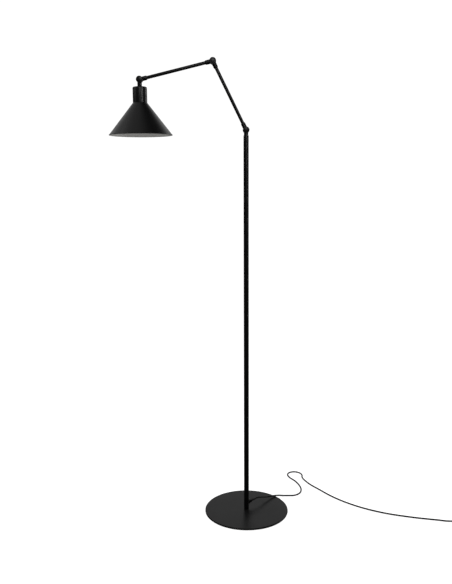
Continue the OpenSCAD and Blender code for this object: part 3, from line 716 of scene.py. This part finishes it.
def shade_outline():
    """Half the section of the shade, and the finish of each of its rows: black on the flange,
    the outside and the bead down to its lowest point, white inside. The two faces of the wall
    lie half a wall to each side of the line from the cup's edge to the bead's centre, and the
    bead is all of its circle that the wall leaves free."""
    bead = np.array([SHADE_LOW[2] + BEAD_R, RIM_R - BEAD_R])
    slope = math.atan2(bead[1] - CUP_R, CUP_Z0 - bead[0])
    out = np.array([math.sin(slope), math.cos(slope)])
    up = np.array([math.cos(slope), -math.sin(slope)])
    lap = math.asin(SHEET / 2 / BEAD_R)
    turn = np.linspace(lap, 2 * np.pi - lap, 28)[:, None]
    rolled = bead + BEAD_R * (np.cos(turn) * up + np.sin(turn) * out)
    wall = CUP_R - SHEET / math.cos(slope) + math.tan(slope) * SHEET
    s = np.linspace(0, 1, 26)[:, None]
    top_out = np.array([[CUP_Z0, SKIRT_R + 0.05], [CUP_Z0, CUP_R - 0.5],
                        [CUP_Z0 - 0.12, CUP_R - 0.14], [CUP_Z0 - 0.45, CUP_R + 0.25]])
    top_in = np.array([[CUP_Z0 - SHEET - 0.5, wall + 0.34], [CUP_Z0 - SHEET - 0.1, wall - 0.2],
                       [CUP_Z0 - SHEET, wall - 0.7], [CUP_Z0 - SHEET, SKIRT_R + 0.05]])
    outside = top_out[-1] + (rolled[0] - top_out[-1]) * s[1:-1]
    inside = rolled[-1] + (top_in[0] - rolled[-1]) * s[1:-1]
    rows = np.vstack([top_out, outside, rolled, inside, top_in])
    white = len(top_out) + len(outside) + np.argmin(rolled[:, 0])
    kind = np.where(np.arange(len(rows)) >= white, 1, 0)
    kind[-1] = 0
    return rows, kind


cup = corners((CUP_Z0, CUP_R - SHEET, 0.2), (CUP_Z0, CUP_R, 0.35), (CUP_Z1, CUP_R, 4),
              (CUP_Z1, NECK_R, 0.4), (CUP_Z1 - SHEET, NECK_R, 0.2),
              (CUP_Z1 - SHEET, CUP_R - SHEET, 2.8), per=12)
piece("cup_shell", "head", [SPUN],
      [(spun(cup, HEAD_X, Z, 144), True, 0)], ["socket_cup"])
shade_rows, shade_kinds = shade_outline()
piece("cone_shell", "head", [SPUN, WHITE],
      [(spun(shade_rows, HEAD_X, Z, 256), True, shade_kinds)], ["shade"], sharp=50)

RING_LOW, RING_HIGH = box("shade_ring")
RING_R = (RING_HIGH[0] - RING_LOW[0]) / 2


def fluted(a, r, t):
    """40 finger grooves round the ring's flange, deepest at its edge."""
    return -0.55 * (0.5 - 0.5 * np.cos(40 * t)) * np.clip(r - (RING_R - 1), 0, 1)


piece("holder_ring", "head", [PLASTIC],
      [(spun(corners((RING_HIGH[2], SKIRT_R, 0.2), (RING_HIGH[2], 20.1, 0.4),
                     (RING_HIGH[2] - 4, 20.1, 0.2), (RING_HIGH[2] - 4, RING_R, 0.5),
                     (RING_LOW[2], RING_R, 0.8), (RING_LOW[2], SKIRT_R, 0.2)),
             HEAD_X, Z, 320, fluted), True, 0)], ["shade_ring"])

BODY_LOW, BODY_HIGH = box("holder_body")
BODY_R = (BODY_HIGH[0] - BODY_LOW[0]) / 2
SHELL_LOW, SHELL_HIGH = box("screw_shell")
SHELL_Z0, SHELL_Z1 = SHELL_LOW[2], SHELL_HIGH[2]
SHELL_R = 13.3
RECESS_TOP = SHELL_Z1 + 2


def skirt_thread(a, r, t):
    """The thread under the shade ring: a ridge that winds once round in 3 mm of height."""
    on = np.clip((CUP_Z0 - 2 - a) * 2, 0, 1) * np.clip((a - BODY_LOW[2] - 0.8) * 2, 0, 1)
    wave = 0.5 + 0.5 * np.cos(2 * np.pi * a / 3 - t)
    return np.where(r > SKIRT_R - 0.4, -0.55 * (1 - wave) * on, 0)


SKIRT = np.linspace(CUP_Z0 - 1.5, BODY_LOW[2] + 0.6, 64)
body_rows = np.vstack([
    corners((RECESS_TOP, 3, 0), (BODY_HIGH[2], 3, 0.2), (BODY_HIGH[2], 18, 0.8),
            (CUP_Z0 + 2.5, 18, 0.3), (CUP_Z0 + 2.5, BODY_R, 0.5), (CUP_Z0, BODY_R, 0.3),
            (CUP_Z0, SKIRT_R, 0.1), (BODY_LOW[2], SKIRT_R, 0), (BODY_LOW[2], SHELL_R + 0.6, 0),
            (RECESS_TOP, SHELL_R + 0.6, 0))[:49],
    np.stack([SKIRT, np.full(64, SKIRT_R)], 1),
    [[BODY_LOW[2] + 0.2, SKIRT_R - 0.25], [BODY_LOW[2], SKIRT_R - 0.7],
     [BODY_LOW[2], SHELL_R + 1], [BODY_LOW[2] + 0.4, SHELL_R + 0.6], [RECESS_TOP, SHELL_R + 0.6]]])
piece("holder_skirt", "head", [CERAMIC],
      [(spun(body_rows, HEAD_X, Z, 96, skirt_thread), True, 0)], ["holder_body"])

cap_low, cap_high = box("holder_cap")
piece("holder_dome", "head", [CERAMIC],
      [(spun(corners((cap_low[2], 15, 0.3), (cap_low[2], 17, 0.5), (cap_high[2], 17, 2.2),
                     (cap_high[2], NECK_R, 0.4), (cap_high[2] - 2.5, NECK_R, 0.2),
                     (cap_high[2] - 2.5, 15, 1.2)), HEAD_X, Z, 96), True, 0)], ["holder_cap"])


def lamp_thread(a, r, t):
    """The rolled lamp thread: the sheet waves in and out once in 3.62 mm of height, and the
    wave winds round the shell. It fades out at both ends."""
    ends = np.clip(np.minimum(a - SHELL_Z0, SHELL_Z1 - a) * 0.8, 0, 1)
    return 0.21 * ends * np.sin(2 * np.pi * a / 3.62 - t)


rise = np.linspace(SHELL_Z0, SHELL_Z1, 110)
shell_rows = np.vstack([np.stack([rise, np.full(110, SHELL_R + 0.39)], 1),
                        np.stack([rise[::-1], np.full(110, SHELL_R + 0.22)], 1)])
piece("thread_shell", "head", [BRASS],
      [(spun(shell_rows, HEAD_X, Z, 96, lamp_thread), True, 0)], ["screw_shell"])

stud_low, stud_high = box("centre_contact")
piece("contact_stud", "head", [BRASS],
      [(spun(corners((stud_low[2] + 0.15, 0, 0), (stud_low[2], 2.0, 0.8),
                     (stud_low[2] + 0.3, 4.5, 0.25), (stud_low[2] + 1.5, 4.5, 0.2),
                     (stud_low[2] + 1.5, 2.95, 0.1), (stud_high[2], 2.95, 0.3),
                     (stud_high[2], 0, 0)), HEAD_X, Z, 48), False, 0)], ["centre_contact"])


# ===== Foot switch =====

SWITCH_LOW, SWITCH_HIGH = box("switch_cover")
SWITCH_AT = (SWITCH_LOW + SWITCH_HIGH)[:2] / 2
SWITCH_HALF = (SWITCH_HIGH - SWITCH_LOW)[:2] / 2
SPLIT_Z, SWITCH_TOP = SWITCH_LOW[2], SWITCH_HIGH[2]
SWITCH_CORNER, LID_EDGE = 8.0, 1.6
BUTTON_LOW, BUTTON_HIGH = box("switch_button")
BUTTON_R, BUTTON_TOP = 12.0, BUTTON_HIGH[2]


def case(rows, per=14):
    """A case with a round hole. Each row (inset, z, hole, share) is a rounded rectangle drawn
    in by inset, blended by share into the circle of radius `hole`: (1 - share) * rectangle
    + share * hole * (direction from the middle)."""
    grid = []
    for inset, z, hole, share in rows:
        x, y = SWITCH_HALF - inset
        r = max(SWITCH_CORNER - inset, 0.5)
        edge = corners((-x, -y, r), (x, -y, r), (x, y, r), (-x, y, r), per=per)
        fill = [np.linspace(edge[(k + 1) * per - 1], edge[((k + 1) * per) % len(edge)], 8)[1:-1]
                for k in range(4)]
        edge = np.vstack([np.vstack([edge[k * per:(k + 1) * per], fill[k]]) for k in range(4)])
        flat = (1 - share) * edge + share * hole * unit(edge)
        grid.append(np.column_stack([flat + SWITCH_AT, np.full(len(flat), z)]))
    return np.array(grid)


def switch_parts():
    """The case's lower and upper shells, meeting in a fine groove, and the dished button."""
    t = np.linspace(0, np.pi / 2, 8)
    over = [(LID_EDGE * (1 - math.cos(a)), SWITCH_TOP - LID_EDGE * (1 - math.sin(a)), 0, 0)
            for a in t]
    hole = BUTTON_R + 0.3
    cover = ([(0.35, SPLIT_Z, 0, 0), (0, SPLIT_Z + 0.35, 0, 0)] + over
             + [(LID_EDGE + 6, SWITCH_TOP, hole + 0.9, 1), (8, SWITCH_TOP - 0.15, hole + 0.3, 1),
                (8, SWITCH_TOP - 0.5, hole, 1), (8, SWITCH_TOP - 1.7, hole, 1),
                (8, SWITCH_TOP - 2, hole + 0.3, 1), (4, SWITCH_TOP - 2, 0, 0),
                (2.4, SWITCH_TOP - 2.4, 0, 0), (2, SWITCH_TOP - 3, 0, 0), (2, SPLIT_Z, 0, 0)])
    piece("switch_lid", "stand", [PLASTIC], [(case(cover), True, 0)],
          ["switch_cover"], sharp=45)
    tray = [(2, SPLIT_Z, 0, 0), (2, 2.6, 0, 0), (2.6, 2, 0, 0), (16.4, 2, 0, 0.999),
            (16.4, 0, 0, 0.999), (1.2, 0, 0, 0), (0.35, 0.25, 0, 0), (0, 1.1, 0, 0),
            (0, SPLIT_Z - 0.35, 0, 0), (0.35, SPLIT_Z, 0, 0)]
    noses = []
    for s in (-1, 1):
        middle = np.array([*SWITCH_AT, 6.0])
        noses.append((spun(ribbed(SWITCH_HALF[0] - 0.6, SWITCH_HALF[0] + 12, 5, 3.6, 4, 0.9,
                                  CORD_BORE), middle, s * X, 40), True, 0))
    piece("switch_tray", "stand", [PLASTIC], [(case(tray), True, 0), *noses],
          ["switch_base"], sharp=45)
    z0 = BUTTON_LOW[2]
    r = np.linspace(BUTTON_R - 1.5, 0, 30)
    dish = np.stack([BUTTON_TOP - 0.9 * np.cos(r / (BUTTON_R - 1.5) * np.pi / 2) ** 1.5
                     - 0.16 * (0.5 - 0.5 * np.cos(2 * np.pi * r / 2.1)) * (r > 2), r], 1)
    side = [[z0 + 3, 0], [z0 + 3, 5.5], [z0, 5.5], [z0, 13.3], [z0 + 0.3, 13.5], [z0 + 1.8, 13.5],
            [z0 + 2, 13.2], [z0 + 2, BUTTON_R], [BUTTON_TOP - 1.4, BUTTON_R],
            [BUTTON_TOP - 0.7, BUTTON_R - 0.25], [BUTTON_TOP - 0.2, BUTTON_R - 0.8],
            [BUTTON_TOP - 0.02, BUTTON_R - 1.3]]
    piece("foot_button", "foot_button", [PLASTIC],
          [(spun(np.vstack([side, dish]), [*SWITCH_AT, 0], Z, 80), False, 0)],
          ["switch_button"], sharp=45)


switch_parts()


# ===== Plug and coil tie =====

BODY_END = box("plug_body")[1][1]
PINS_LOW, PINS_HIGH = box("plug_pins")
PIN_R = (PINS_HIGH[2] - PINS_LOW[2]) / 2
PLUG_EDGE = 1.4
PIN_APART = PINS_HIGH[0] - PINS_LOW[0] - 2 * PIN_R


def plug_section():
    """The plug's body: sections across its length, each a superellipse
    x = w * sgn(cos t) |cos t|^(2/n), z = h * sgn(sin t) |sin t|^(2/n), that widens from the
    boot to the pins while n grows from a round 2 to a boxy 5. Its front edge is a quarter
    circle of radius r: a section `past` into it is drawn in by r - sqrt((r - past)(r + past))."""
    s = np.linspace(0, 1, 60)
    y = PLUG_AT[1] - 1 + (BODY_END - PLUG_AT[1] + 1) * s
    half_w = levels(s, [(0, 5.6), (0.12, 7), (0.62, 12.9), (1, 12.9)])
    half_h = levels(s, [(0, 5.4), (0.35, 6.8), (1, 6.8)])
    waist = 0.9 * np.exp(-(((s - 0.45) / 0.16) ** 2))
    n = levels(s, [(0, 2), (0.5, 3.6), (1, 5)])[:, None]
    past = np.clip(PLUG_EDGE - (1 - s) * (BODY_END - PLUG_AT[1]), 0, PLUG_EDGE)
    draw = PLUG_EDGE - np.sqrt((PLUG_EDGE - past) * (PLUG_EDGE + past))
    t = np.linspace(0, 2 * np.pi, 72, endpoint=False)[None, :]
    power = 2 / n
    across = (half_w - waist - draw)[:, None] * np.sign(np.cos(t)) * np.abs(np.cos(t)) ** power
    high = (half_h - draw)[:, None] * np.sign(np.sin(t)) * np.abs(np.sin(t)) ** power
    grid = np.stack(np.broadcast_arrays(PLUG_AT[0] + across, y[:, None], PLUG_AT[2] + high), -1)
    middle = np.stack([np.full(60, PLUG_AT[0]), y, np.full(60, PLUG_AT[2])], 1)
    ends = np.repeat(middle[[0, -1], None], 72, 1)
    return np.concatenate([ends[:1], grid, ends[1:]])


piece("plug_shell", "stand", [PLASTIC],
      [(plug_section(), False, 0),
       (spun(ribbed(0, 20.5, 5.6, 3.2, 5, 0.9, CORD_BORE), PLUG_AT + 0.5 * Y, -Y, 40),
        True, 0)], ["plug_body"])

pin_shells = []
for s in (-1, 1):
    foot = np.array([PLUG_AT[0] + s * PIN_APART / 2, 0, PLUG_AT[2]])
    sleeve = corners((BODY_END - 0.6, 0, 0), (BODY_END - 0.6, PIN_R - 0.08, 0),
                     (BODY_END + 10, PIN_R - 0.08, 0.1), (BODY_END + 10, 0, 0))
    tip = corners((BODY_END + 9.9, 0, 0), (BODY_END + 9.9, PIN_R, 0.05),
                  (PINS_HIGH[1], PIN_R, 1.7), (PINS_HIGH[1], 0, 0))
    pin_shells += [(spun(sleeve, foot, Y, 32), False, 0), (spun(tip, foot, Y, 32), False, 1)]
piece("plug_prongs", "stand", [PLASTIC, BRASS], pin_shells, ["plug_pins"])


def tie_band():
    """The strap round the coil: a flat section, `wide` by `thick` with rounded edges, carried
    round the outline of the coil's five turns and bent with them."""
    thick, wide, at = 0.8, 6.5, math.radians(207)
    z = thick + CORD_D / 2
    loop = corners((-5, z - 2.6, 2.5), (5, z - 2.6, 2.5), (7.6, z, 0.4), (2.6, z + 7.4, 2.6),
                   (-2.6, z + 7.4, 2.6), (-7.6, z, 0.4), per=10)
    out = unit(np.roll(loop, -1, 0) - np.roll(loop, 1, 0))[:, ::-1] * [1, -1]
    band = corners((0, -wide / 2, 0.3), (thick, -wide / 2, 0.3), (thick, wide / 2, 0.3),
                   (0, wide / 2, 0.3), per=4)
    ring = loop[:, None] + out[:, None] * band[None, :, :1]
    r = COIL_R + ring[..., 0]
    a = at + band[None, :, 1] / COIL_R + 0 * r
    x, y = COIL_AT[0] + r * np.cos(a), COIL_AT[1] + r * np.sin(a)
    return np.stack([x, y, ring[..., 1]], -1), band


strap, band = tie_band()
way = np.cumsum(np.linalg.norm(np.diff(strap[:, 0], axis=0, prepend=strap[:1, 0]), axis=1))
strap_route = np.stack(np.broadcast_arrays(way[:, None], band[None, :, 1], 0.0), -1).reshape(-1, 3)
piece("coil_strap", "stand", [STRAP], [(strap, True, 0)], ["coil_tie"],
      route=strap_route)


# ===== Finishes of the pieces that keep their CAD shape =====

BY_SLOT = {"lacquer": LACQUER, "plate": POWDER, "pad": RUBBER, "steel": STEEL, "brass": BRASS,
           "cord": CABLE, "plastic": PLASTIC, "wire": SLEEVE, "ceramic": CERAMIC}
for node in NODES.values():
    for held in node.material_slots:
        held.material = BY_SLOT[held.material.name.split(".")[0]]
